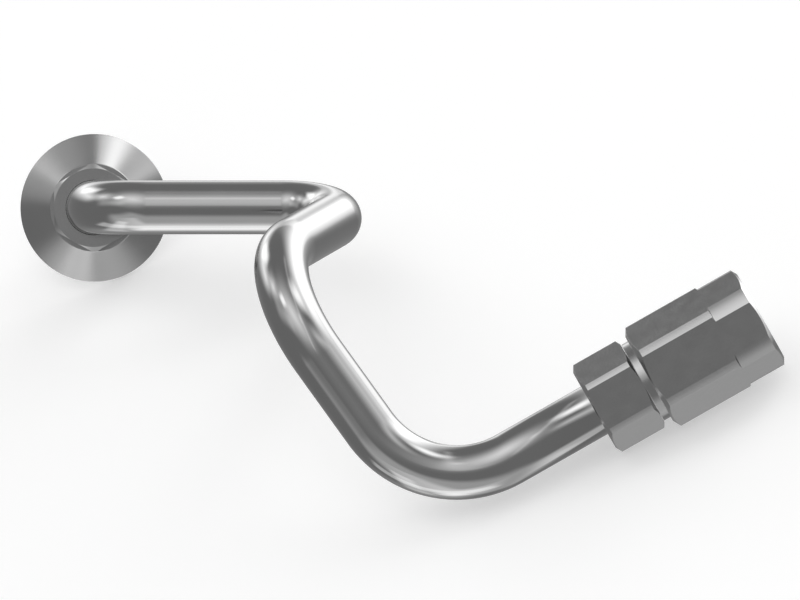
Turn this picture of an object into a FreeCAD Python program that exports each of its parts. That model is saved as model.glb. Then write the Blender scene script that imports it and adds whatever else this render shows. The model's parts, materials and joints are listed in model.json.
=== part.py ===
import FreeCAD, Part
import math
import os

from FreeCAD import Placement, Rotation, Vector

# Bent steel tube assembly. A hollow tube with four bends joins a turned conical flange to a
# hexagonal connector. A nut and a cutting ring hold the tube in each of them.
# Lengths are in millimetres and angles in degrees.

# Tube section
tube_od = 22.0
tube_wall = 2.0

# Tube route: lengths between the corners of the centre line, ends included
leg_in_flange = 45.5
leg_across = 107.7
leg_rising = 124.1
leg_falling = 118.8
leg_in_connector = 97.3

# Tube route: how far each corner turns, and how far its plane is twisted from the last one
turn_1 = 90.0
turn_2 = 109.5
turn_3 = 92.1
turn_4 = 83.9
twist_angle_2 = -168.0
twist_angle_3 = 127.4
twist_angle_4 = 67.4

# Tube route: bend radii of the centre line, tight on the first two bends
tight_bend_radius = 22.0
wide_bend_radius = 43.0

# Seat of the tube in both fittings: a 24 degree cone, then a bore to a stop. Its mouth stands
# this far outside the tube all round.
seat_mouth_step = 1.15
seat_half_angle = 12.0
tube_stop_depth = 10.0
tube_clearance = 0.05
nut_hole_clearance = 0.3

# Cutting ring, the same in both fittings
ring_edge = 0.3
ring_collar_wall = 2.0
ring_collar_front = 1.2
ring_collar_length = 2.8
ring_tail_wall = 0.5
ring_clearance = 0.02
nut_seat_angle = 45.0

# Threads that hold the nuts, as plain cylinders at the pitch diameter
thread_clearance = 0.05
pitch_diameter_share = 0.6495

# Hexagon bars: the end chamfers rise at this angle from the face
chamfer_angle = 30.0

# Flange nut. The thread's crest stands this far outside the tube, the flats this far outside the
# thread, and the turned corners and faces this far outside the flats.
flange_thread_step = 3.0
flange_thread_pitch = 1.5
flange_nut_wall = 2.0
flange_nut_corner_step = 2.0
flange_nut_face_step = 0.05
flange_nut_length = 20.0
flange_nut_gap = 0.5
flange_nut_turn = 29.0

# Flange body
flange_male_length = 12.0
flange_small_d = 36.0
flange_collar_length = 3.7
flange_cone_height = 8.6
flange_rim_d = 60.5
flange_rim_land = 2.0
flange_bore_chamfer = 1.0

# Connector nut, with the same steps. The back face is turned to inside the flats.
connector_thread_step = 4.0
connector_thread_pitch = 2.0
connector_nut_wall = 3.0
connector_nut_corner_step = 2.05
connector_nut_back_face_step = -0.7
connector_nut_front_face_step = 0.0
connector_nut_length = 22.2
connector_nut_gap = 0.2

# Connector body
connector_male_length = 13.0
collar_d = 35.0
collar_length = 3.0
body_flats = 41.0
body_corner_d = 45.4
body_back_face_d = 38.8
body_length = 51.6
end_section_length = 17.5
end_section_d = 43.7
body_end_face_d = 38.5
connector_turn = 1.5

# Threaded hole in the connector's open end, drawn at its minor diameter
port_thread_d = 33.25
port_minor_d = 30.3
port_depth = 24.0
port_mouth_chamfer = 1.0
drill_half_angle = 59.0

# Small chamfer that breaks the edges of turned ends
edge_break = 0.5

# Rest: the pieces that touch the floor when the assembly lies down, a rough direction that is
# then up, in the frame of the tube's route, and how often the plane under the feet is drawn
resting_feet = ("flange_body", "connector_nut", "connector_body")
rough_up = (-0.3, 0.7, 0.6)
rest_rounds = 12

# Diameters that follow from the tube and the steps round it
passage_d = tube_od - 2 * tube_wall
seat_mouth_d = tube_od + 2 * seat_mouth_step
ring_collar_d = tube_od + 2 * ring_collar_wall
flange_thread_d = tube_od + 2 * flange_thread_step
flange_nut_flats = flange_thread_d + 2 * flange_nut_wall
flange_nut_corner_d = flange_nut_flats + 2 * flange_nut_corner_step
flange_nut_face_d = flange_nut_flats + 2 * flange_nut_face_step
connector_thread_d = tube_od + 2 * connector_thread_step
connector_nut_flats = connector_thread_d + 2 * connector_nut_wall
connector_nut_corner_d = connector_nut_flats + 2 * connector_nut_corner_step
connector_nut_back_face_d = connector_nut_flats + 2 * connector_nut_back_face_step
connector_nut_front_face_d = connector_nut_flats + 2 * connector_nut_front_face_step

AXIS = Vector(0, 0, 1)
ORIGIN = Vector(0, 0, 0)


def tan(angle):
    """Tangent of an angle in degrees."""
    return math.tan(math.radians(angle))


def turned(outline):
    """Solid turned about Z from the corners (radius, height) of its half section."""
    corners = [Vector(radius, 0, height) for radius, height in outline]
    face = Part.Face(Part.makePolygon(corners + corners[:1]))
    return face.revolve(ORIGIN, AXIS, 360)


def hexagon_bar(flats, bottom, top):
    """Six-sided bar along Z with one flat facing +X."""
    corner_radius = flats / 2 / math.cos(math.radians(30))
    corners = []
    for step in range(7):
        angle = math.radians(30 + 60 * step)
        corners.append(Vector(corner_radius * math.cos(angle), corner_radius * math.sin(angle), bottom))
    return Part.Face(Part.makePolygon(corners)).extrude(AXIS * (top - bottom))


def chamfer_height(corner_d, face_d):
    """How far a hexagon's end chamfer reaches along the bar."""
    return (corner_d - face_d) / 2 * tan(chamfer_angle)


def seat_radius(depth):
    """Radius of the 24 degree seat at a depth behind its mouth."""
    return seat_mouth_d / 2 - depth * tan(seat_half_angle)


def thread_radius(diameter, pitch):
    """Pitch radius of a thread, where the two threads meet."""
    return (diameter - pitch_diameter_share * pitch) / 2


def bend_profile():
    """Turn, twist and centre line radius of each bend, from the flange on."""
    return [
        (turn_1, 0.0, tight_bend_radius),
        (turn_2, twist_angle_2, tight_bend_radius),
        (turn_3, twist_angle_3, wide_bend_radius),
        (turn_4, twist_angle_4, wide_bend_radius),
    ]


def tube_route():
    """Straights and bends of the centre line, and the frame at its far end.

    The tube starts at the origin and leaves along +Z. Every bend turns about its plane's normal.
    """
    legs = [leg_in_flange, leg_across, leg_rising, leg_falling, leg_in_connector]
    point = ORIGIN
    heading = AXIS
    normal = Vector(0, 1, 0)
    cut_off = 0.0
    straights = []
    bends = []
    for leg, (turn, twist, radius) in zip(legs, bend_profile()):
        setback = radius * tan(turn / 2)
        run = heading * (leg - cut_off - setback)
        straights.append((point, run))
        point = point + run
        normal = Rotation(heading, twist).multVec(normal)
        centre = point + normal.cross(heading) * radius
        bends.append((centre, normal, turn))
        swing = Rotation(normal, turn)
        point = centre + swing.multVec(point - centre)
        heading = swing.multVec(heading)
        cut_off = setback
    last_run = heading * (legs[-1] - cut_off)
    straights.append((point, last_run))
    return straights, bends, point + last_run, heading, normal


def tube_sweep(radius):
    """Round bar of the given radius along the tube's route."""
    straights, bends = tube_route()[:2]
    sections = []
    for index, (start, run) in enumerate(straights):
        disc = Part.Face(Part.Wire(Part.makeCircle(radius, start, run)))
        sections.append(disc.extrude(run))
        if index < len(bends):
            centre, normal, turn = bends[index]
            disc.translate(run)
            sections.append(disc.revolve(centre, normal, turn))
    return sections[0].multiFuse(sections[1:]).removeSplitter()


def bent_tube():
    """Hollow tube with four bends."""
    outside = tube_sweep(tube_od / 2)
    inside = tube_sweep(tube_od / 2 - tube_wall)
    return outside.cut(inside)


def fitting_bore(exit_outline):
    """Space inside a fitting body: the seat, the tube's bore, the passage, then the given outline.

    Heights count from the body's male end, where the seat is widest.
    """
    bore_radius = tube_od / 2 + tube_clearance
    seat_depth = (seat_mouth_d / 2 - bore_radius) / tan(seat_half_angle)
    outline = [
        (0, 0),
        (seat_mouth_d / 2, 0),
        (bore_radius, seat_depth),
        (bore_radius, tube_stop_depth),
        (passage_d / 2, tube_stop_depth),
    ]
    return turned(outline + exit_outline)


def cutting_ring():
    """Ring whose front slides into the seat and whose collar is pushed by the nut."""
    bore = tube_od / 2 + ring_clearance
    tip_radius = bore + ring_edge
    tip = (seat_mouth_d / 2 - ring_clearance - tip_radius) / tan(seat_half_angle)
    collar = -ring_collar_front
    shoulder = collar - ring_collar_length
    tail_radius = bore + ring_tail_wall
    tail = shoulder - (ring_collar_d / 2 - tail_radius) * tan(nut_seat_angle)
    return turned([
        (bore, tip),
        (tip_radius, tip),
        (seat_radius(collar) - ring_clearance, collar),
        (ring_collar_d / 2, collar),
        (ring_collar_d / 2, shoulder),
        (tail_radius, tail),
        (bore, tail),
    ])


def nut_bore(thread_d, pitch, back, front):
    """Space inside a nut: clearance hole for the tube, cone for the ring, thread."""
    hole = tube_od / 2 + nut_hole_clearance
    thread = thread_radius(thread_d, pitch) + thread_clearance
    shoulder = -ring_collar_front - ring_collar_length - ring_clearance
    cone_start = shoulder - (ring_collar_d / 2 - hole) * tan(nut_seat_angle)
    cone_end = shoulder + (thread - ring_collar_d / 2) * tan(nut_seat_angle)
    return turned([
        (0, back),
        (hole, back),
        (hole, cone_start),
        (thread, cone_end),
        (thread, front),
        (0, front),
    ])


def hexagon_nut(flats, corner_d, back_face_d, front_face_d, thread_d, pitch, back, front):
    """Nut from hexagon bar with turned corners, chamfered at both ends."""
    back_chamfer = chamfer_height(corner_d, back_face_d)
    front_chamfer = chamfer_height(corner_d, front_face_d)
    blank = turned([
        (0, back),
        (back_face_d / 2, back),
        (corner_d / 2, back + back_chamfer),
        (corner_d / 2, front - front_chamfer),
        (front_face_d / 2, front),
        (0, front),
    ])
    nut = blank.common(hexagon_bar(flats, back, front))
    return nut.cut(nut_bore(thread_d, pitch, back, front))


def flange_nut():
    """Nut that holds the tube in the flange."""
    front = flange_male_length - flange_nut_gap
    back = front - flange_nut_length
    nut = hexagon_nut(flange_nut_flats, flange_nut_corner_d, flange_nut_face_d, flange_nut_face_d,
                      flange_thread_d, flange_thread_pitch, back, front)
    nut.rotate(ORIGIN, AXIS, flange_nut_turn)
    return nut


def connector_nut():
    """Nut that holds the tube in the connector."""
    front = connector_male_length - connector_nut_gap
    back = front - connector_nut_length
    nut = hexagon_nut(connector_nut_flats, connector_nut_corner_d,
                      connector_nut_back_face_d, connector_nut_front_face_d,
                      connector_thread_d, connector_thread_pitch, back, front)
    nut.rotate(ORIGIN, AXIS, connector_turn)
    return nut


def flange_body():
    """Turned flange: male end, collar, cone out to the rim and a flat back."""
    shoulder = flange_male_length
    cone_start = shoulder + flange_collar_length
    rim_front = cone_start + flange_cone_height
    back = rim_front + flange_rim_land
    male = thread_radius(flange_thread_d, flange_thread_pitch)
    outside = turned([
        (0, 0),
        (male - edge_break, 0),
        (male, edge_break),
        (male, shoulder),
        (flange_small_d / 2, shoulder),
        (flange_small_d / 2, cone_start),
        (flange_rim_d / 2, rim_front),
        (flange_rim_d / 2, back),
        (0, back),
    ])
    passage = passage_d / 2
    return outside.cut(fitting_bore([
        (passage, back - flange_bore_chamfer),
        (passage + flange_bore_chamfer, back),
        (0, back),
    ]))


def connector_body():
    """Connector: male end, plain collar, hexagon with a turned-down end and a threaded hole."""
    collar_start = connector_male_length
    start = collar_start + collar_length
    end = start + body_length
    step = end - end_section_length
    male = thread_radius(connector_thread_d, connector_thread_pitch)
    stem = turned([
        (0, 0),
        (male - edge_break, 0),
        (male, edge_break),
        (male, collar_start),
        (collar_d / 2, collar_start),
        (collar_d / 2, start),
        (0, start),
    ])
    blank = turned([
        (0, start),
        (body_back_face_d / 2, start),
        (body_corner_d / 2, start + chamfer_height(body_corner_d, body_back_face_d)),
        (body_corner_d / 2, step),
        (end_section_d / 2, step + chamfer_height(body_corner_d, end_section_d)),
        (end_section_d / 2, end - chamfer_height(end_section_d, body_end_face_d)),
        (body_end_face_d / 2, end),
        (0, end),
    ])
    body = blank.common(hexagon_bar(body_flats, start, end)).fuse(stem)
    port = port_minor_d / 2
    port_bottom = end - port_depth
    drill_point = port_bottom - (port - passage_d / 2) / tan(drill_half_angle)
    body = body.cut(fitting_bore([
        (passage_d / 2, drill_point),
        (port, port_bottom),
        (port, end - port_mouth_chamfer - (port_thread_d - port_minor_d) / 2),
        (port_thread_d / 2 + port_mouth_chamfer, end),
        (0, end),
    ]))
    body.rotate(ORIGIN, AXIS, connector_turn)
    return body


def seat_frame(tube_end, outward, reference):
    """Frame of a fitting: its male end behind the tube's end, +Z outward, +X on the reference."""
    across = outward.cross(reference)
    return Placement(tube_end - outward * tube_stop_depth, Rotation(reference, across, outward, "ZXY"))


def assembly():
    """All pieces by name, in the frame of the tube's route."""
    end, heading, normal = tube_route()[2:]
    at_flange = seat_frame(ORIGIN, AXIS.negative(), Vector(0, 1, 0))
    at_connector = seat_frame(end, heading, normal)
    pieces = {"bent_tube": bent_tube()}
    for name, shape, frame in (
        ("flange_body", flange_body(), at_flange),
        ("flange_nut", flange_nut(), at_flange),
        ("flange_ring", cutting_ring(), at_flange),
        ("connector_body", connector_body(), at_connector),
        ("connector_nut", connector_nut(), at_connector),
        ("connector_ring", cutting_ring(), at_connector),
    ):
        pieces[name] = shape.transformed(frame.toMatrix())
    return pieces


def lowest_point(piece, up):
    """Point of a piece that is lowest when the given direction is up."""
    reach = piece.BoundBox.DiagonalLength
    middle = piece.BoundBox.Center - up * reach
    across = up.cross(AXIS).normalize()
    corner = middle - across * reach - up.cross(across) * reach
    floor = Part.makePlane(2 * reach, 2 * reach, corner, up, across)
    return piece.distToShape(floor)[1][0][0]


def resting_up(pieces):
    """Direction that points up when the assembly lies on its three feet.

    The plane under the feet is drawn again until the feet's lowest points stop moving.
    """
    up = Vector(*rough_up).normalize()
    for _ in range(rest_rounds):
        first, second, third = [lowest_point(pieces[name], up) for name in resting_feet]
        normal = (second - first).cross(third - first).normalize()
        up = normal if normal.dot(up) > 0 else normal.negative()
    return up


def resting_placement(pieces):
    """Placement that lays the assembly on its feet.

    +Z is then up, +X runs from the flange towards the connector, and the origin is under the
    middle of the whole.
    """
    up = resting_up(pieces)
    length = pieces["connector_body"].CenterOfGravity - pieces["flange_body"].CenterOfGravity
    turn = Rotation(length, Vector(), up, "ZXY").inverted()
    lying = Part.makeCompound(list(pieces.values())).transformed(Placement(ORIGIN, turn).toMatrix())
    box = lying.optimalBoundingBox(False)
    return Placement(Vector(-box.Center.x, -box.Center.y, -box.ZMin), turn)


def write_parts():
    """Write every piece to its own file."""
    os.makedirs("parts", exist_ok=True)
    pieces = assembly()
    lay_down = resting_placement(pieces).toMatrix()
    for name, shape in pieces.items():
        lying = shape.transformed(lay_down)
        lying.exportStep("parts/%s.step" % name)
        print(name, "valid" if lying.isValid() else "NOT VALID", len(lying.Solids), round(lying.Volume))


write_parts()
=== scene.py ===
# %% [markdown]
# # A bent steel tube between a turned flange and a hexagonal connector
#
# The real object is a hydraulic line: a polished tube with four bends, a nut and a conical flange
# at one end, a nut and a long hexagonal connector at the other. It lies on a pale studio floor.
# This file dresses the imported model: a finer tube, because polish shows every facet, softly broken
# edges, a screw thread in the open port, and steel finishes that differ in how each piece was made.
#
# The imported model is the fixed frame. Every piece is placed from it, so nothing is fitted by eye.

import json
import math
from contextlib import contextmanager

import bmesh
import bpy
from mathutils import Matrix, Vector


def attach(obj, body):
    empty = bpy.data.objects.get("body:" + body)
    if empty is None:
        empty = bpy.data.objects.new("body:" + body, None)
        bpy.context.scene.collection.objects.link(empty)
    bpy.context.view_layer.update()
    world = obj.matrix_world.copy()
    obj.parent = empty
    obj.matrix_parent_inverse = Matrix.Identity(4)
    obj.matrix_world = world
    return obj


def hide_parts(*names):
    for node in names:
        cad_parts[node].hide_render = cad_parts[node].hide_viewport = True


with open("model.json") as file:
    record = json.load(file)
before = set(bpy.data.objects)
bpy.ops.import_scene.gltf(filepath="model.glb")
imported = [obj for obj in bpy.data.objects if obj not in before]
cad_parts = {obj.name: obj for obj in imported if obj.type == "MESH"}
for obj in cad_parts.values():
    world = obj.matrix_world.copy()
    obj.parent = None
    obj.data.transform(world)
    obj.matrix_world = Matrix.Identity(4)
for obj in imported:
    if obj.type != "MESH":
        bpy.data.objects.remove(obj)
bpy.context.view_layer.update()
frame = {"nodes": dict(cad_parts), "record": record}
mounts = {mount["name"]: mount for mount in frame["record"]["mounts"]}
MM = 0.001
print("nodes:", sorted(frame["nodes"]))
print("mounts:", sorted(mounts))

# %% [markdown]
# ## Where the two fittings sit
#
# Both fittings were turned on a lathe, so each has an axis. It is easiest to think of a fitting
# standing on its own bench: height counts from its male end, outwards along the axis. The mounts
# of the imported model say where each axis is, and the point on each end face says which way the
# fitting is turned about it. From those we can build a matrix that carries a point from the
# fitting's bench to its real place, and its inverse, which the materials use later.

# %% Frames of the fittings
# lengths from the male end to the free end, and how deep the tube goes into each fitting
flange_length = 26.3 * MM
connector_length = 67.6 * MM
tube_stop = 10.0 * MM


def fitting_frame(axis_mount, face_mount, length):
    """Matrix from a fitting's bench to its place: +Z outward, +Y towards the face mount's point."""
    outward = Vector(mounts[axis_mount]["axis"]).normalized()
    on_axis = Vector(mounts[axis_mount]["pos_m"])
    to_face = Vector(mounts[face_mount]["pos_m"]) - on_axis
    height = to_face.dot(outward)
    side = (to_face - outward * height).normalized()
    matrix = Matrix((side.cross(outward), side, outward)).transposed().to_4x4()
    matrix.translation = on_axis + outward * (height - length)
    return matrix


flange_frame = fitting_frame("flange_bore", "flange_face", flange_length)
connector_frame = fitting_frame("connector_port", "connector_face", connector_length)
print("flange starts at", [round(c, 4) for c in flange_frame.translation])
print("connector starts at", [round(c, 4) for c in connector_frame.translation])

# %% [markdown]
# ## The camera
#
# The photograph looks straight into the flange, along its axis, from far away: the tube's first
# run points at the lens. So the flange gives the viewing direction, and the connector, which
# lies almost square to it, gives the roll: its axis climbs by a fixed angle in the picture. A
# long lens a long way off gives the flat perspective of the photograph. The Standard view shows
# every brightness as it is, so a white floor stays white and steel keeps its contrast.

# %% Camera along the flange's axis
connector_climb = math.radians(29.67)
first_leg_mm = 45.5
# where the picture's middle lies from the tube's first corner
frame_middle_right = 125.13 * MM
frame_middle_down = 37.72 * MM
camera_distance = 10.584
lens_mm = 1170.0
sensor_mm = 36.0

towards_viewer = -flange_frame.to_3x3().col[2]
connector_axis = connector_frame.to_3x3().col[2]
level = connector_axis - towards_viewer * connector_axis.dot(towards_viewer)
image_right = Matrix.Rotation(-connector_climb, 3, towards_viewer) @ level.normalized()
image_up = towards_viewer.cross(image_right)
first_corner = flange_frame @ Vector((0, 0, tube_stop)) + towards_viewer * first_leg_mm * MM
aim = first_corner + image_right * frame_middle_right - image_up * frame_middle_down

camera = bpy.data.objects.new("camera", bpy.data.cameras.new("camera"))
bpy.context.scene.collection.objects.link(camera)
camera.data.lens = lens_mm
camera.data.sensor_width = sensor_mm
camera.matrix_world = Matrix((image_right, image_up, towards_viewer)).transposed().to_4x4()
camera.location = aim + towards_viewer * camera_distance
bpy.context.scene.camera = camera
bpy.context.scene.view_settings.view_transform = "Standard"
print("camera looks down by", round(math.degrees(math.asin(towards_viewer.z)), 1), "degrees")

# %% [markdown]
# ## Tools for building node trees
#
# Materials and Geometry Nodes are both trees of nodes joined by links. Two small helpers keep the
# code short: one adds a node and sets its values, the other makes an empty shader group with
# named inputs and outputs. A finish that several steels share is then built once, as a group.

# %% Node helpers


def add(tree, kind, settings=None, **inputs):
    """New node of a kind, with its settings, and inputs given as values or as sockets to link."""
    node = tree.nodes.new(kind)
    for name, value in (settings or {}).items():
        setattr(node, name, value)
    for name, value in inputs.items():
        key = int(name[1:]) if name[0] == "i" and name[1:].isdigit() else name.replace("_", " ")
        if isinstance(value, bpy.types.NodeSocket):
            tree.links.new(value, node.inputs[key])
        else:
            node.inputs[key].default_value = value
    return node


def math_node(tree, operation, *values):
    """Output of a Math node on values or sockets."""
    inputs = {"i%d" % index: value for index, value in enumerate(values)}
    return add(tree, "ShaderNodeMath", {"operation": operation}, **inputs).outputs[0]


def shader_group(name, inputs, outputs):
    """Empty shader node group, with its input and output nodes."""
    group = bpy.data.node_groups.new(name, "ShaderNodeTree")
    for socket, kind, value in inputs:
        made = group.interface.new_socket(socket, in_out="INPUT", socket_type=kind)
        if value is not None:
            made.default_value = value
    for socket, kind in outputs:
        group.interface.new_socket(socket, in_out="OUTPUT", socket_type=kind)
    return group, group.nodes.new("NodeGroupInput"), group.nodes.new("NodeGroupOutput")


# %% [markdown]
# ## Effects that the steels share
#
# Three marks of how steel is made show on this object. *Clouding* is the soft, uneven satin of
# handled metal: where it is duller the reflection spreads. *Lathe rings* are the fine grooves a
# cutting tool leaves round an axis; they depend only on radius and height, so they are worked out
# from those two. *Drawn lines* run along a tube or a bar, as the die left them; they are noise
# that is stretched along the piece.

# %% Clouding
brightest_below, dullest_above = 0.25, 0.75  # nearly all of the noise lies between these
clouding, group_in, group_out = shader_group(
    "clouding",
    [("Vector", "NodeSocketVector", None), ("Patches per metre", "NodeSocketFloat", 60.0),
     ("Dullest", "NodeSocketFloat", 0.3), ("Brightest", "NodeSocketFloat", 0.2)],
    [("Roughness", "NodeSocketFloat"), ("Cloud", "NodeSocketFloat")],
)
patches = add(clouding, "ShaderNodeTexNoise", Vector=group_in.outputs["Vector"],
              Scale=group_in.outputs["Patches per metre"], Detail=3.0, Roughness=0.5)
spread = add(clouding, "ShaderNodeMapRange", Value=patches.outputs["Fac"],
             From_Min=brightest_below, From_Max=dullest_above)
rough = add(clouding, "ShaderNodeMix", {"data_type": "FLOAT"}, Factor=spread.outputs[0],
            A=group_in.outputs["Brightest"], B=group_in.outputs["Dullest"])
clouding.links.new(rough.outputs[0], group_out.inputs["Roughness"])
clouding.links.new(spread.outputs[0], group_out.inputs["Cloud"])

# %% Lathe rings
lathe_rings, group_in, group_out = shader_group(
    "lathe_rings",
    [("Bench position", "NodeSocketVector", None), ("Rings per metre", "NodeSocketFloat", 2500.0)],
    [("Height", "NodeSocketFloat")],
)
parts = add(lathe_rings, "ShaderNodeSeparateXYZ", Vector=group_in.outputs["Bench position"])
radius = math_node(lathe_rings, "POWER", math_node(
    lathe_rings, "ADD", math_node(lathe_rings, "MULTIPLY", parts.outputs[0], parts.outputs[0]),
    math_node(lathe_rings, "MULTIPLY", parts.outputs[1], parts.outputs[1])), 0.5)
place = add(lathe_rings, "ShaderNodeCombineXYZ", X=radius, Y=parts.outputs[2])
coarse = add(lathe_rings, "ShaderNodeTexNoise", {"noise_dimensions": "2D"},
             Vector=place.outputs[0], Scale=group_in.outputs["Rings per metre"], Detail=2.0)
lathe_rings.links.new(coarse.outputs["Fac"], group_out.inputs["Height"])

# %% Drawn lines
drawn_lines, group_in, group_out = shader_group(
    "drawn_lines",
    [("Vector", "NodeSocketVector", None), ("Lines per metre", "NodeSocketFloat", 3000.0)],
    [("Height", "NodeSocketFloat")],
)
lines = add(drawn_lines, "ShaderNodeTexNoise", Vector=group_in.outputs["Vector"],
            Scale=group_in.outputs["Lines per metre"], Detail=3.0, Roughness=0.6)
drawn_lines.links.new(lines.outputs["Fac"], group_out.inputs["Height"])
print("groups:", [group.name for group in bpy.data.node_groups])

# %% [markdown]
# ## The steels
#
# Bare steel is a plain grey metal: all its looks are in how sharply it mirrors the studio. The
# tube is polished, so its highlights are crisp lines. The cone and the corners of the hexagons
# were turned, so their reflections spread a little across the rings. The flats of the hexagons are
# drawn bar, polished almost as well as the tube, with a faint unevenness left in them. No steel is
# the same all over, so one helper lays the clouding over the roughness and the grey of each.

# %% What all steels share
steel_grey = 0.37
turned_grey = 0.38
grey_drift = 0.01


def grey_colour(value):
    """A grey as a colour."""
    return (value, value, value, 1.0)


def steel(name, grey):
    """Metallic material, its node tree and its shader, ready for a finish."""
    material = bpy.data.materials.new(name)
    material.use_nodes = True
    tree = material.node_tree
    tree.nodes.clear()
    shader = add(tree, "ShaderNodeBsdfPrincipled", Base_Color=grey_colour(grey), Metallic=1.0)
    output = add(tree, "ShaderNodeOutputMaterial")
    tree.links.new(shader.outputs[0], output.inputs["Surface"])
    return material, tree, shader


def place_group(tree, group, **inputs):
    """A shared group placed in a node tree."""
    return add(tree, "ShaderNodeGroup", {"node_tree": group}, **inputs)


def cloud_over(tree, shader, where, grey, **values):
    """Let roughness and grey drift together from place to place."""
    cloud = place_group(tree, clouding, Vector=where, **values)
    tree.links.new(cloud.outputs["Roughness"], shader.inputs["Roughness"])
    mixed = add(tree, "ShaderNodeMix", {"data_type": "RGBA"}, Factor=cloud.outputs["Cloud"])
    darker, lighter = [socket for socket in mixed.inputs if socket.type == "RGBA"]
    darker.default_value = grey_colour(grey - grey_drift)
    lighter.default_value = grey_colour(grey + grey_drift)
    colour = next(socket for socket in mixed.outputs if socket.type == "RGBA")
    tree.links.new(colour, shader.inputs["Base Color"])


def bump(tree, shader, height, strength, depth_mm):
    """Bump from a height between 0 and 1, as deep as given."""
    node = add(tree, "ShaderNodeBump", Height=height, Strength=strength, Distance=depth_mm * MM)
    tree.links.new(node.outputs[0], shader.inputs["Normal"])


def bench_position(tree, matrix):
    """Object coordinates carried back to a fitting's bench."""
    back = matrix.inverted()
    coordinates = add(tree, "ShaderNodeTexCoord").outputs["Object"]
    mapping = add(tree, "ShaderNodeMapping", {"vector_type": "POINT"}, Vector=coordinates,
                  Location=tuple(back.translation), Rotation=tuple(back.to_3x3().to_euler()))
    return mapping.outputs[0]


# %% One function for each finish
line_length_share = 0.01
bar_line_share = 0.05
bar_line_height = 0.15


def polished_tube():
    """Polished along the tube, with faint drawn lines that follow the bends."""
    material, tree, shader = steel("polished_tube_steel", steel_grey)
    here = add(tree, "ShaderNodeTexCoord").outputs["Object"]
    cloud_over(tree, shader, here, steel_grey, Patches_per_metre=45.0, Dullest=0.14, Brightest=0.09)
    along = add(tree, "ShaderNodeAttribute", {"attribute_name": "along"}).outputs["Fac"]
    round_it = add(tree, "ShaderNodeAttribute", {"attribute_name": "round"}).outputs["Vector"]
    slowly = add(tree, "ShaderNodeCombineXYZ", X=math_node(tree, "MULTIPLY", along, line_length_share))
    place = add(tree, "ShaderNodeVectorMath", {"operation": "ADD"}, i0=round_it, i1=slowly.outputs[0])
    lines = place_group(tree, drawn_lines, Vector=place.outputs[0], Lines_per_metre=1500.0)
    bump(tree, shader, lines.outputs["Height"], strength=0.12, depth_mm=0.02)
    return material


def turned_steel(name, matrix, dullest, brightest, ring_strength):
    """Steel with the fine rings of a lathe about a fitting's axis."""
    material, tree, shader = steel(name, turned_grey)
    here = bench_position(tree, matrix)
    cloud_over(tree, shader, here, turned_grey, Patches_per_metre=50.0, Dullest=dullest, Brightest=brightest)
    rings = place_group(tree, lathe_rings, Bench_position=here, Rings_per_metre=3500.0)
    bump(tree, shader, rings.outputs["Height"], strength=ring_strength, depth_mm=0.03)
    return material


def hexagon_steel(name, matrix):
    """Polished flats of drawn bar, with drawn lines and a faint unevenness left by polishing."""
    material, tree, shader = steel(name, steel_grey)
    here = bench_position(tree, matrix)
    cloud_over(tree, shader, here, steel_grey, Patches_per_metre=160.0, Dullest=0.19, Brightest=0.14)
    stretched = add(tree, "ShaderNodeVectorMath", {"operation": "MULTIPLY"}, i0=here,
                    i1=(1.0, 1.0, bar_line_share))
    lines = place_group(tree, drawn_lines, Vector=stretched.outputs[0], Lines_per_metre=2500.0)
    uneven = add(tree, "ShaderNodeTexNoise", Vector=here, Scale=900.0, Detail=1.0)
    height = math_node(tree, "MULTIPLY_ADD", lines.outputs["Height"], bar_line_height, uneven.outputs["Fac"])
    bump(tree, shader, height, strength=0.5, depth_mm=0.03)
    return material


def corner_steel(name, matrix):
    """Turned finish of a hexagon's corners and ends."""
    return turned_steel(name, matrix, dullest=0.20, brightest=0.15, ring_strength=0.2)


tube_steel = polished_tube()
cone_steel = turned_steel("turned_flange_steel", flange_frame, dullest=0.20, brightest=0.15,
                          ring_strength=0.25)
flange_hexagon_steel = hexagon_steel("flange_hexagon_steel", flange_frame)
flange_corner_steel = corner_steel("flange_corner_steel", flange_frame)
connector_hexagon_steel = hexagon_steel("connector_hexagon_steel", connector_frame)
connector_corner_steel = corner_steel("connector_corner_steel", connector_frame)
print("materials:", [material.name for material in bpy.data.materials if material.use_nodes])

# %% [markdown]
# ## The bent tube
#
# A tube is one circle swept along one line, and a bender makes that line from a short table: how
# long each leg is, how far it turns, and how far the tube is rolled before the next bend. We
# repeat that table, work out the corners, and let Geometry Nodes do the rest: round every corner
# with its own radius, then sweep the circle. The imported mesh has 28 sides, enough to hold but
# not to shine; this one has enough for a clean highlight. A Solidify modifier gives it its wall.

# %% Corners of the route from the bender's table
tube_radius = 11.0 * MM
tube_wall = 2.0 * MM
legs_mm = (first_leg_mm, 107.7, 124.1, 118.8, 97.3)
turns = (90.0, 109.5, 92.1, 83.9)
rolls = (0.0, -168.0, 127.4, 67.4)
bend_radii_mm = (22.0, 22.0, 43.0, 43.0)


def route_corners():
    """Corners of the centre line, from the flange's stop to the connector's stop."""
    point = flange_frame @ Vector((0, 0, tube_stop))
    heading = towards_viewer.copy()
    normal = flange_frame.to_3x3().col[1].copy()
    corners = [point]
    for leg, turn, roll in zip(legs_mm, turns, rolls):
        point = point + heading * leg * MM
        corners.append(point)
        normal = Matrix.Rotation(math.radians(roll), 3, heading) @ normal
        heading = Matrix.Rotation(math.radians(turn), 3, normal) @ heading
    corners.append(point + heading * legs_mm[-1] * MM)
    return corners


corners = route_corners()
miss = (corners[-1] - connector_frame @ Vector((0, 0, tube_stop))).length
print("the route ends", round(miss / MM, 4), "mm from the connector's stop")

# %% Geometry Nodes tree that sweeps the tube


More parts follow.
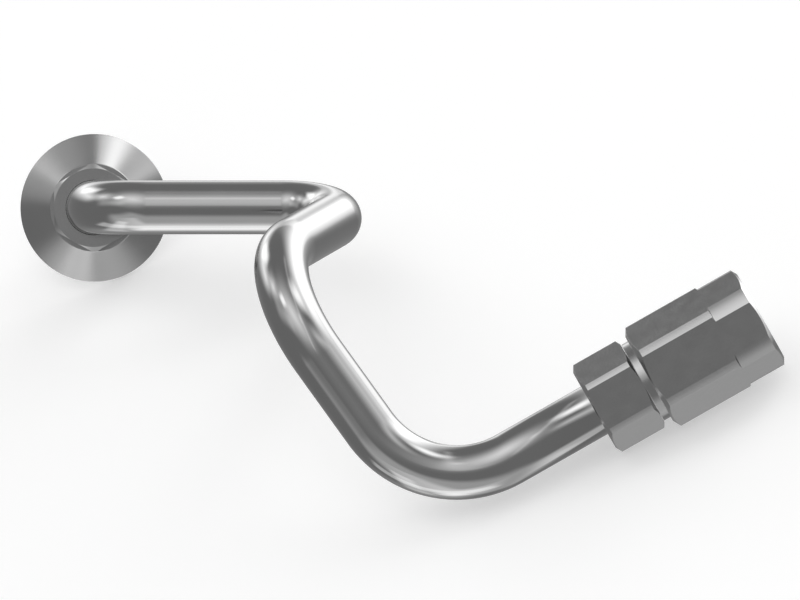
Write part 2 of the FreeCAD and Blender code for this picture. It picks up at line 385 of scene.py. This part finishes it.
def geometry_tree(name, inputs):
    """Empty Geometry Nodes tree with a mesh in, a mesh out and named inputs."""
    tree = bpy.data.node_groups.new(name, "GeometryNodeTree")
    tree.interface.new_socket("Geometry", in_out="INPUT", socket_type="NodeSocketGeometry")
    for socket, kind in inputs:
        tree.interface.new_socket(socket, in_out="INPUT", socket_type=kind)
    tree.interface.new_socket("Geometry", in_out="OUTPUT", socket_type="NodeSocketGeometry")
    return tree, tree.nodes.new("NodeGroupInput"), tree.nodes.new("NodeGroupOutput")


sweep, sweep_in, sweep_out = geometry_tree("sweep_along_route", [
    ("Radius", "NodeSocketFloat"), ("Sides", "NodeSocketInt"), ("Steps per bend", "NodeSocketInt"),
    ("Material", "NodeSocketMaterial")])
line = add(sweep, "GeometryNodeMeshToCurve", Mesh=sweep_in.outputs["Geometry"])
bend = add(sweep, "GeometryNodeInputNamedAttribute", {"data_type": "FLOAT"}, Name="bend_radius")
rounded = add(sweep, "GeometryNodeFilletCurve", {"mode": "POLY"}, Curve=line.outputs[0],
              Count=sweep_in.outputs["Steps per bend"], Radius=bend.outputs["Attribute"])
distance = add(sweep, "GeometryNodeSplineParameter")
marked = add(sweep, "GeometryNodeStoreNamedAttribute", {"data_type": "FLOAT", "domain": "POINT"},
             Geometry=rounded.outputs[0], Name="along", Value=distance.outputs["Length"])
ring = add(sweep, "GeometryNodeCurvePrimitiveCircle", Resolution=sweep_in.outputs["Sides"],
           Radius=sweep_in.outputs["Radius"])
ring_place = add(sweep, "GeometryNodeInputPosition")
ring_marked = add(sweep, "GeometryNodeStoreNamedAttribute",
                  {"data_type": "FLOAT_VECTOR", "domain": "POINT"},
                  Geometry=ring.outputs[0], Name="round", Value=ring_place.outputs[0])
swept = add(sweep, "GeometryNodeCurveToMesh", Curve=marked.outputs[0],
            Profile_Curve=ring_marked.outputs[0])
smooth = add(sweep, "GeometryNodeSetShadeSmooth", Geometry=swept.outputs[0])
real = add(sweep, "GeometryNodeRealizeInstances", Geometry=smooth.outputs[0])
coloured = add(sweep, "GeometryNodeSetMaterial", Geometry=real.outputs[0],
               Material=sweep_in.outputs["Material"])
sweep.links.new(coloured.outputs[0], sweep_out.inputs[0])

# %% Helpers that make plain meshes


def new_object(name, mesh):
    """Object at the origin that holds a mesh."""
    made = bpy.data.objects.new(name, mesh)
    bpy.context.scene.collection.objects.link(made)
    return made


def freeze(piece):
    """Replace a piece's mesh by what its modifiers make, and drop them."""
    seen = piece.evaluated_get(bpy.context.evaluated_depsgraph_get())
    mesh = bpy.data.meshes.new_from_object(seen)
    piece.modifiers.clear()
    piece.data = mesh
    return piece


def run_tree(piece, tree, **values):
    """Run a Geometry Nodes tree on a piece with the named inputs."""
    modifier = piece.modifiers.new(tree.name, "NODES")
    modifier.node_group = tree
    for item in tree.interface.items_tree:
        if item.in_out == "INPUT" and item.name.replace(" ", "_") in values:
            modifier[item.identifier] = values[item.name.replace(" ", "_")]
    return freeze(piece)


@contextmanager
def opened(mesh):
    """A mesh opened for editing, and written back when the block ends."""
    work = bmesh.new()
    work.from_mesh(mesh)
    yield work
    work.to_mesh(mesh)
    work.free()


# %% Sweep the tube and give it its wall
seam_gap = 0.0001 * MM
route = bpy.data.meshes.new("tube")
route.from_pydata(corners, [(index, index + 1) for index in range(len(corners) - 1)], [])
radii = route.attributes.new("bend_radius", "FLOAT", "POINT")
for index, radius_mm in enumerate(bend_radii_mm):
    radii.data[index + 1].value = radius_mm * MM
tube = run_tree(new_object("tube", route), sweep, Radius=tube_radius, Sides=96, Steps_per_bend=48,
                Material=tube_steel)
outer_faces = len(tube.data.polygons)
wall = tube.modifiers.new("wall", "SOLIDIFY")
wall.thickness = tube_wall
wall.offset = -1.0
wall.use_even_offset = True
tube = freeze(tube)
with opened(tube.data) as work:
    bmesh.ops.remove_doubles(work, verts=work.verts, dist=seam_gap)
    bmesh.ops.recalc_face_normals(work, faces=work.faces)
print("tube:", outer_faces, "outer faces,", len(tube.data.polygons), "with its wall")

# %% [markdown]
# ## Turned and hexagonal pieces
#
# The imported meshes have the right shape, but no real edge is knife sharp: a machined edge is
# broken by a tenth or two of a millimetre, and that thin round catches the light. So each piece
# is copied, its loose triangles are merged, flat areas are joined into single faces, and a small
# bevel rounds the sharp edges. Slivers are closed on the way, because they shade as dark specks.
# On the hexagons, large faces that run along the axis are bar, and all other faces were cut on the
# lathe, so the two get different finishes.

# %% Merged copies with broken edges
edge_angle = math.radians(20)
flat_angle = math.radians(0.5)
same_point = 0.001 * MM
sliver = 0.03 * MM
bevel_sliver = 0.01 * MM
broken_edge = 0.15 * MM
# a hexagon's flat: how far its normal may tilt, how large it is, how far out it lies
flat_tilt = 0.01
smallest_flat = 20 * MM * MM
innermost_flat = 15.5 * MM


def smooth_between_edges(work):
    """Shade smooth, apart from the edges that are really there."""
    for face in work.faces:
        face.smooth = True
    for edge in work.edges:
        edge.smooth = edge.calc_face_angle(0.0) < edge_angle


def forget_normals(mesh):
    """Drop normals that were kept for an earlier shape."""
    if mesh.attributes.get("custom_normal"):
        mesh.attributes.remove(mesh.attributes["custom_normal"])


def merged_copy(node, name):
    """Copy of a node with its triangles joined to clean faces and its sharp edges marked."""
    mesh = frame["nodes"][node].data.copy()
    mesh.name = name
    mesh.materials.clear()
    with opened(mesh) as work:
        bmesh.ops.remove_doubles(work, verts=work.verts, dist=same_point)
        bmesh.ops.dissolve_limit(work, angle_limit=flat_angle, verts=work.verts, edges=work.edges)
        bmesh.ops.dissolve_degenerate(work, edges=work.edges, dist=sliver)
        smooth_between_edges(work)
    forget_normals(mesh)
    return new_object(name, mesh)


def break_edges(piece):
    """Round the sharp edges of a piece."""
    bevel = piece.modifiers.new("edges", "BEVEL")
    bevel.width = broken_edge
    bevel.segments = 3
    bevel.limit_method = "ANGLE"
    bevel.angle_limit = edge_angle
    bevel.harden_normals = True
    bevel.miter_outer = "MITER_ARC"
    return freeze(piece)


def drop_slivers(piece):
    """Close what the bevel left too thin to shade, and let the large faces lead the shading."""
    with opened(piece.data) as work:
        bmesh.ops.dissolve_degenerate(work, edges=work.edges, dist=bevel_sliver)
    forget_normals(piece.data)
    shading = piece.modifiers.new("shading", "WEIGHTED_NORMAL")
    shading.keep_sharp = True
    return freeze(piece)


def give_finishes(piece, matrix, bar, turned):
    """Bar finish on the flats along the axis and turned finish on everything else."""
    piece.data.materials.clear()
    piece.data.materials.append(bar)
    piece.data.materials.append(turned)
    to_bench = matrix.inverted()
    flats = 0
    for face in piece.data.polygons:
        normal = to_bench.to_3x3() @ face.normal
        middle = to_bench @ face.center
        along = abs(normal.z) < flat_tilt
        is_bar = along and face.area > smallest_flat and middle.xy.length > innermost_flat
        face.material_index = 0 if is_bar else 1
        flats += is_bar
    print(piece.name, "has", flats, "bar faces of", len(piece.data.polygons))


# %% The two nuts and the flange
flange_nut = break_edges(merged_copy("flange_nut", "flange_side_nut"))
give_finishes(flange_nut, flange_frame, flange_hexagon_steel, flange_corner_steel)
connector_nut = break_edges(merged_copy("connector_nut", "connector_side_nut"))
give_finishes(connector_nut, connector_frame, connector_hexagon_steel, connector_corner_steel)
# the collar beside this nut would mirror it as a dark band, so reflections pass it by
connector_nut.visible_glossy = False
flange = break_edges(merged_copy("flange_body", "flange"))
flange.data.materials.clear()
flange.data.materials.append(cone_steel)

# %% [markdown]
# ## The connector and the thread in its port
#
# A tapped hole is a bore with a ridge left standing in it, wound like a spring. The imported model
# stops at the crest of that ridge, since a smooth bore is all that collision needs. Here the
# wall goes back to the bottom of the groove, and the ridge is swept: Geometry Nodes wind a
# spiral with the thread's pitch and carry the thread's profile, a V with a flat top, along it.
# The spiral's Reverse makes it a right-hand thread, as pipe threads are. The tap leaves the groove
# shallower at its far end, and the chamfer cuts the crest at the mouth.

# %% Connector with its port widened to the groove
port_crest = 15.15 * MM
port_groove = 16.6 * MM
port_depth_start = 43.6 * MM
port_mouth = 65.125 * MM
chamfer_rim = 17.6 * MM
drill_half_angle = math.radians(59)
thread_depth = port_groove - port_crest
near = 0.05 * MM


def widen_port(piece):
    """Move the port's wall out, along the drill's cone at one end and the chamfer at the other."""
    moved = 0
    for vertex in piece.data.vertices:
        place = connector_frame.inverted() @ vertex.co
        radius = math.hypot(place.x, place.y)
        on_wall = abs(radius - port_crest) < near and place.z > port_depth_start - near
        on_chamfer = port_crest < radius < port_groove and place.z > port_mouth
        if on_wall:
            out = thread_depth
            lift = out / math.tan(drill_half_angle) if place.z < port_depth_start + near else out
        elif on_chamfer:
            out = lift = (port_groove + chamfer_rim) / 2 - radius
        else:
            continue
        widened = place * ((radius + out) / radius)
        widened.z = place.z + lift
        vertex.co = connector_frame @ widened
        moved += 1
    print("port wall:", moved, "points moved out by", round(thread_depth / MM, 2), "mm")


connector = merged_copy("connector_body", "connector")
widen_port(connector)
break_edges(connector)
drop_slivers(connector)
give_finishes(connector, connector_frame, connector_hexagon_steel, connector_corner_steel)

# %% Geometry Nodes tree that winds the ridge
tap_taper = 0.4
ridge, ridge_in, ridge_out = geometry_tree("wound_ridge", [
    ("Radius", "NodeSocketFloat"), ("Pitch", "NodeSocketFloat"), ("Height", "NodeSocketFloat"),
    ("Mouth height", "NodeSocketFloat"), ("Crest", "NodeSocketFloat"), ("Steps per turn", "NodeSocketInt"),
    ("Material", "NodeSocketMaterial")])
profile = add(ridge, "GeometryNodeMeshToCurve", Mesh=ridge_in.outputs["Geometry"])
turns_up = math_node(ridge, "DIVIDE", ridge_in.outputs["Height"], ridge_in.outputs["Pitch"])
spiral = add(ridge, "GeometryNodeCurveSpiral", Resolution=ridge_in.outputs["Steps per turn"],
             Rotations=turns_up, Start_Radius=ridge_in.outputs["Radius"],
             End_Radius=ridge_in.outputs["Radius"], Height=ridge_in.outputs["Height"], Reverse=True)
upright = add(ridge, "GeometryNodeSetCurveNormal", {"mode": "Z_UP"}, Curve=spiral.outputs[0])
wound = add(ridge, "GeometryNodeCurveToMesh", Curve=upright.outputs[0], Profile_Curve=profile.outputs[0],
            Fill_Caps=True)
place = add(ridge, "ShaderNodeSeparateXYZ", Vector=add(ridge, "GeometryNodeInputPosition").outputs[0])
flat = add(ridge, "ShaderNodeCombineXYZ", X=place.outputs[0], Y=place.outputs[1])
radius = add(ridge, "ShaderNodeVectorMath", {"operation": "LENGTH"}, i0=flat.outputs[0]).outputs["Value"]
chamfered = math_node(ridge, "ADD", ridge_in.outputs["Crest"],
                      math_node(ridge, "SUBTRACT", place.outputs[2], ridge_in.outputs["Mouth height"]))
tapered = math_node(ridge, "SUBTRACT", ridge_in.outputs["Radius"],
                    math_node(ridge, "MULTIPLY", place.outputs[2], tap_taper))
least = math_node(ridge, "MAXIMUM", math_node(ridge, "MAXIMUM", chamfered, tapered), radius)
scale = add(ridge, "ShaderNodeVectorMath", {"operation": "SCALE"}, i0=flat.outputs[0],
            Scale=math_node(ridge, "DIVIDE", least, radius))
upwards = add(ridge, "ShaderNodeCombineXYZ", Z=place.outputs[2])
target = add(ridge, "ShaderNodeVectorMath", {"operation": "ADD"}, i0=scale.outputs[0], i1=upwards.outputs[0])
cut = add(ridge, "GeometryNodeSetPosition", Geometry=wound.outputs[0], Position=target.outputs[0])
real = add(ridge, "GeometryNodeRealizeInstances", Geometry=cut.outputs[0])
coloured = add(ridge, "GeometryNodeSetMaterial", Geometry=real.outputs[0],
               Material=ridge_in.outputs["Material"])
ridge.links.new(coloured.outputs[0], ridge_out.inputs[0])

# %% Wind the thread in the port
thread_pitch = 2.31 * MM
thread_start = 45.2 * MM
thread_end = 66.4 * MM
crest_half_width = 0.19 * MM
groove_half_width = 0.96 * MM
hidden_depth = 0.15 * MM
under_chamfer = 0.05 * MM
shape = ((-thread_depth, crest_half_width), (hidden_depth, groove_half_width),
         (hidden_depth, -groove_half_width), (-thread_depth, -crest_half_width))
outline = bpy.data.meshes.new("thread")
outline.from_pydata([(x, y, 0) for x, y in shape], [(0, 1), (1, 2), (2, 3), (3, 0)], [])
thread = run_tree(new_object("port_thread", outline), ridge, Radius=port_groove, Pitch=thread_pitch,
                  Height=thread_end - thread_start, Mouth_height=port_mouth - thread_start,
                  Crest=port_crest + under_chamfer, Steps_per_turn=72, Material=connector_corner_steel)
reach = [math.hypot(vertex.co.x, vertex.co.y) / MM for vertex in thread.data.vertices]
print("thread: radius from", round(min(reach), 3), "to", round(max(reach), 3), "mm")
with opened(thread.data) as work:
    bmesh.ops.recalc_face_normals(work, faces=work.faces)
    smooth_between_edges(work)
thread.data.transform(connector_frame @ Matrix.Translation((0, 0, thread_start)))
print("thread:", len(thread.data.polygons), "faces")

# %% [markdown]
# ## The hidden rings
#
# The cutting rings can't be seen from outside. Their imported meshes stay, with a turned finish.

# %% Rings
for node, matrix in (("flange_ring", flange_frame), ("connector_ring", connector_frame)):
    ring_object = frame["nodes"][node]
    for ring_slot in ring_object.material_slots:
        ring_slot.material = turned_steel(node + "_steel", matrix, dullest=0.35, brightest=0.25,
                                          ring_strength=0.2)

# %% [markdown]
# ## Tie the pieces to the imported model
#
# Nothing moves, so every piece rides on the one body and stands for its imported node.

# %% Ride and replace
for piece, node, slot in (
    (tube, "bent_tube", "tube_steel"),
    (flange, "flange_body", "turned_steel"),
    (flange_nut, "flange_nut", "hexagon_steel"),
    (connector, "connector_body", "hexagon_steel"),
    (connector_nut, "connector_nut", "hexagon_steel"),
):
    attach(piece, "root")
    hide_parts(node)
    print(piece.name, "stands for", node, "with", len(piece.data.polygons), "faces")
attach(thread, "root")

# %% [markdown]
# ## Floor
#
# A plain pale floor that the camera sees as white. Its diffuse part takes the object's shadow, and
# a little emission lifts the rest to white. Towards its rim the floor turns to plain white, so that
# no edge shows in a low view. Real polished steel would mirror this white floor in its lower half,
# but the photograph shows mostly dark there, with a few lights: the object hung free in its studio.
# So the floor is left out of glossy reflections, and the world stands in for it.

# %% Floor
white_from, white_beyond = 1.0, 2.5
floor_half = 3.0
floor_mesh = bpy.data.meshes.new("floor")
floor_mesh.from_pydata([(-floor_half, -floor_half, 0), (floor_half, -floor_half, 0),
                        (floor_half, floor_half, 0), (-floor_half, floor_half, 0)], [], [(0, 1, 2, 3)])
floor = new_object("floor", floor_mesh)
floor_grey = 0.7
floor_lift = 0.4
floor_material = bpy.data.materials.new("pale_floor")
floor_material.use_nodes = True
tree = floor_material.node_tree
tree.nodes.clear()
rays = add(tree, "ShaderNodeLightPath")
mirrored = math_node(tree, "MAXIMUM", rays.outputs["Is Glossy Ray"], rays.outputs["Is Transmission Ray"])
seen = math_node(tree, "MAXIMUM", rays.outputs["Is Camera Ray"], mirrored)
paint = add(tree, "ShaderNodeBsdfDiffuse", Color=grey_colour(floor_grey))
lift = add(tree, "ShaderNodeEmission", Color=grey_colour(1.0),
           Strength=math_node(tree, "MULTIPLY", seen, floor_lift))
lit = add(tree, "ShaderNodeAddShader", i0=paint.outputs[0], i1=lift.outputs[0])
white = add(tree, "ShaderNodeEmission", Color=grey_colour(1.0), Strength=seen)
here = add(tree, "ShaderNodeTexCoord").outputs["Object"]
away = add(tree, "ShaderNodeVectorMath", {"operation": "LENGTH"}, i0=here)
rim = add(tree, "ShaderNodeMapRange", Value=away.outputs["Value"],
          From_Min=white_from, From_Max=white_beyond)
mixed = add(tree, "ShaderNodeMixShader", i0=rim.outputs[0], i1=lit.outputs[0], i2=white.outputs[0])
output = add(tree, "ShaderNodeOutputMaterial")
tree.links.new(mixed.outputs[0], output.inputs["Surface"])
floor.data.materials.append(floor_material)
floor.visible_glossy = False

# %% [markdown]
# ## Studio light
#
# Steel shows its surroundings more than its own colour, so the studio is what draws the form. A
# dim grey room gives the dark bands and a few large soft panels give the bright ones. Lamps would
# do, but a lamp's mirror image has a hard edge, and in the photograph the bands on the tube fade
# out softly. So each panel is painted on the world as a rectangle with soft edges: two angles say
# where it stands, two more how large it is, one how far it leans, and one how wide its edge fades.
#
# Below the horizon the world is pale, where a white floor would be. Dark cards of the same shape
# take that light away again where the photographed steel mirrors something dark, and a few low
# panels and lamps give its highlights from below. The camera alone sees a plain white world.

# %% Soft panel
soft_panel, group_in, group_out = shader_group(
    "soft_panel",
    [("Direction", "NodeSocketVector", None), ("Towards", "NodeSocketVector", None),
     ("Across", "NodeSocketVector", None), ("Upwards", "NodeSocketVector", None),
     ("Inner width", "NodeSocketFloat", 0.1), ("Outer width", "NodeSocketFloat", 0.2),
     ("Inner height", "NodeSocketFloat", 0.1), ("Outer height", "NodeSocketFloat", 0.2)],
    [("Panel", "NodeSocketFloat")],
)


def along_axis(axis):
    """How far the direction goes along one of the panel's axes."""
    return add(soft_panel, "ShaderNodeVectorMath", {"operation": "DOT_PRODUCT"},
               i0=group_in.outputs["Direction"], i1=group_in.outputs[axis]).outputs["Value"]


def fades(angle, inner, outer):
    """1 inside the inner angle, 0 outside the outer one."""
    return add(soft_panel, "ShaderNodeMapRange", {"interpolation_type": "SMOOTHSTEP"}, Value=angle,
               From_Min=group_in.outputs[inner], From_Max=group_in.outputs[outer],
               To_Min=1.0, To_Max=0.0).outputs[0]


sideways = math_node(soft_panel, "ARCTAN2", math_node(soft_panel, "ABSOLUTE", along_axis("Across")),
                     along_axis("Towards"))
height = math_node(soft_panel, "ARCSINE", math_node(soft_panel, "ABSOLUTE", along_axis("Upwards")))
panel_mask = math_node(soft_panel, "MULTIPLY", fades(sideways, "Inner width", "Outer width"),
                       fades(height, "Inner height", "Outer height"))
soft_panel.links.new(panel_mask, group_out.inputs["Panel"])

# %% Where the panels stand
viewer_compass = Vector((towards_viewer.x, towards_viewer.y, 0)).normalized()
viewer_right = Vector((0, 0, 1)).cross(viewer_compass)
panels = (
    # name, azimuth from the viewer, elevation, wide, high, lean, edge (degrees), brightness
    ("back_right_sweep", 126, 8, 65, 26, -42, 43, 3.66),
    ("back_right_tall", 107, 51, 16, 22, 0, 16, 2.19),
    ("back_left_sweep", -155, 12, 15, 63, -45, 24, 1.95),
    ("back_left_strip", -161, 19, 12, 26, -10, 12, 1.87),
    ("overhead", -26, 79, 33, 45, 43, 50, 1.57),
    ("overhead_line", 86, 69, 91, 4, -15, 5, 0.46),
    ("front_right", 71, 35, 41, 10, -54, 20, 1.08),
    ("left_high", -83, 51, 38, 16, 35, 14, 0.37),
    ("lamp_back_left", -110, 71, 11, 12, 17, 7, 1.57),
    ("lamp_left", -130, 49, 12, 9, 46, 33, 3.2),
    ("lamp_front", 45, 71, 9, 3, 26, 5, 0.65),
    ("low_front", -22, -35, 59, 111, 30, 19, 0.47),
    ("low_left_strip", -66, -42, 59, 11, 55, 5, 0.64),
    ("low_front_strip", -51, -46, 59, 18, -26, 5, 0.7),
    ("low_lamp_front", -55, -62, 16, 11, 7, 7, 0.9),
    ("low_lamp_back", 169, -19, 9, 12, 6, 5, 0.77),
)
dark_cards = (
    # name, azimuth from the viewer, elevation, wide, high, lean, edge (degrees)
    ("card_left", -109, 17, 144, 163, -1, 51),
    ("card_back", 141, -53, 80, 57, 29, 5),
    ("card_front", 30, 3, 120, 66, 4, 11),
    ("card_under", -114, -85, 136, 24, -36, 22),
)


def panel_axes(azimuth, elevation, lean):
    """Directions towards a panel, across it and up it."""
    around, above_floor = math.radians(azimuth), math.radians(elevation)
    flat = viewer_compass * math.cos(around) + viewer_right * math.sin(around)
    towards = flat * math.cos(above_floor) + Vector((0, 0, math.sin(above_floor)))
    across = viewer_right * math.cos(around) - viewer_compass * math.sin(around)
    turn = Matrix.Rotation(math.radians(lean), 3, towards)
    return towards, turn @ across, turn @ towards.cross(across)


# %% The room and its panels
world = bpy.data.worlds.new("studio_room")
bpy.context.scene.world = world
world.use_nodes = True
tree = world.node_tree
tree.nodes.clear()
room_grey = 0.32
floor_seen = 1.0
horizon_fade = 0.01
direction = add(tree, "ShaderNodeTexCoord").outputs["Generated"]


def place_panel(name, azimuth, elevation, wide, high, lean, edge):
    """Mask of a soft panel in the world."""
    towards, across, upwards = panel_axes(azimuth, elevation, lean)
    inner_width, outer_width, inner_height, outer_height = [
        math.radians(angle) / 2 for angle in (wide - edge, wide + edge, high - edge, high + edge)]
    node = place_group(tree, soft_panel, Direction=direction, Towards=towards, Across=across,
                       Upwards=upwards, Inner_width=inner_width, Outer_width=outer_width,
                       Inner_height=inner_height, Outer_height=outer_height)
    node.label = name
    return node.outputs["Panel"]


upward = add(tree, "ShaderNodeSeparateXYZ", Vector=direction).outputs[2]
floor_left = add(tree, "ShaderNodeMapRange", Value=upward, From_Min=horizon_fade,
                 From_Max=-horizon_fade, To_Max=floor_seen - room_grey).outputs[0]
for card in dark_cards:
    open_part = math_node(tree, "SUBTRACT", 1.0, place_panel(*card))
    floor_left = math_node(tree, "MULTIPLY", floor_left, open_part)
light = math_node(tree, "ADD", floor_left, room_grey)
for *placing, brightness in panels:
    light = math_node(tree, "MULTIPLY_ADD", place_panel(*placing), brightness, light)
rays = add(tree, "ShaderNodeLightPath")
shown = add(tree, "ShaderNodeMix", {"data_type": "FLOAT"}, Factor=rays.outputs["Is Camera Ray"],
            A=light, B=1.0)
background = add(tree, "ShaderNodeBackground", Color=grey_colour(1.0), Strength=shown.outputs[0])
output = add(tree, "ShaderNodeOutputWorld")
tree.links.new(background.outputs[0], output.inputs["Surface"])
print("panels:", len(panels), "dark cards:", len(dark_cards))
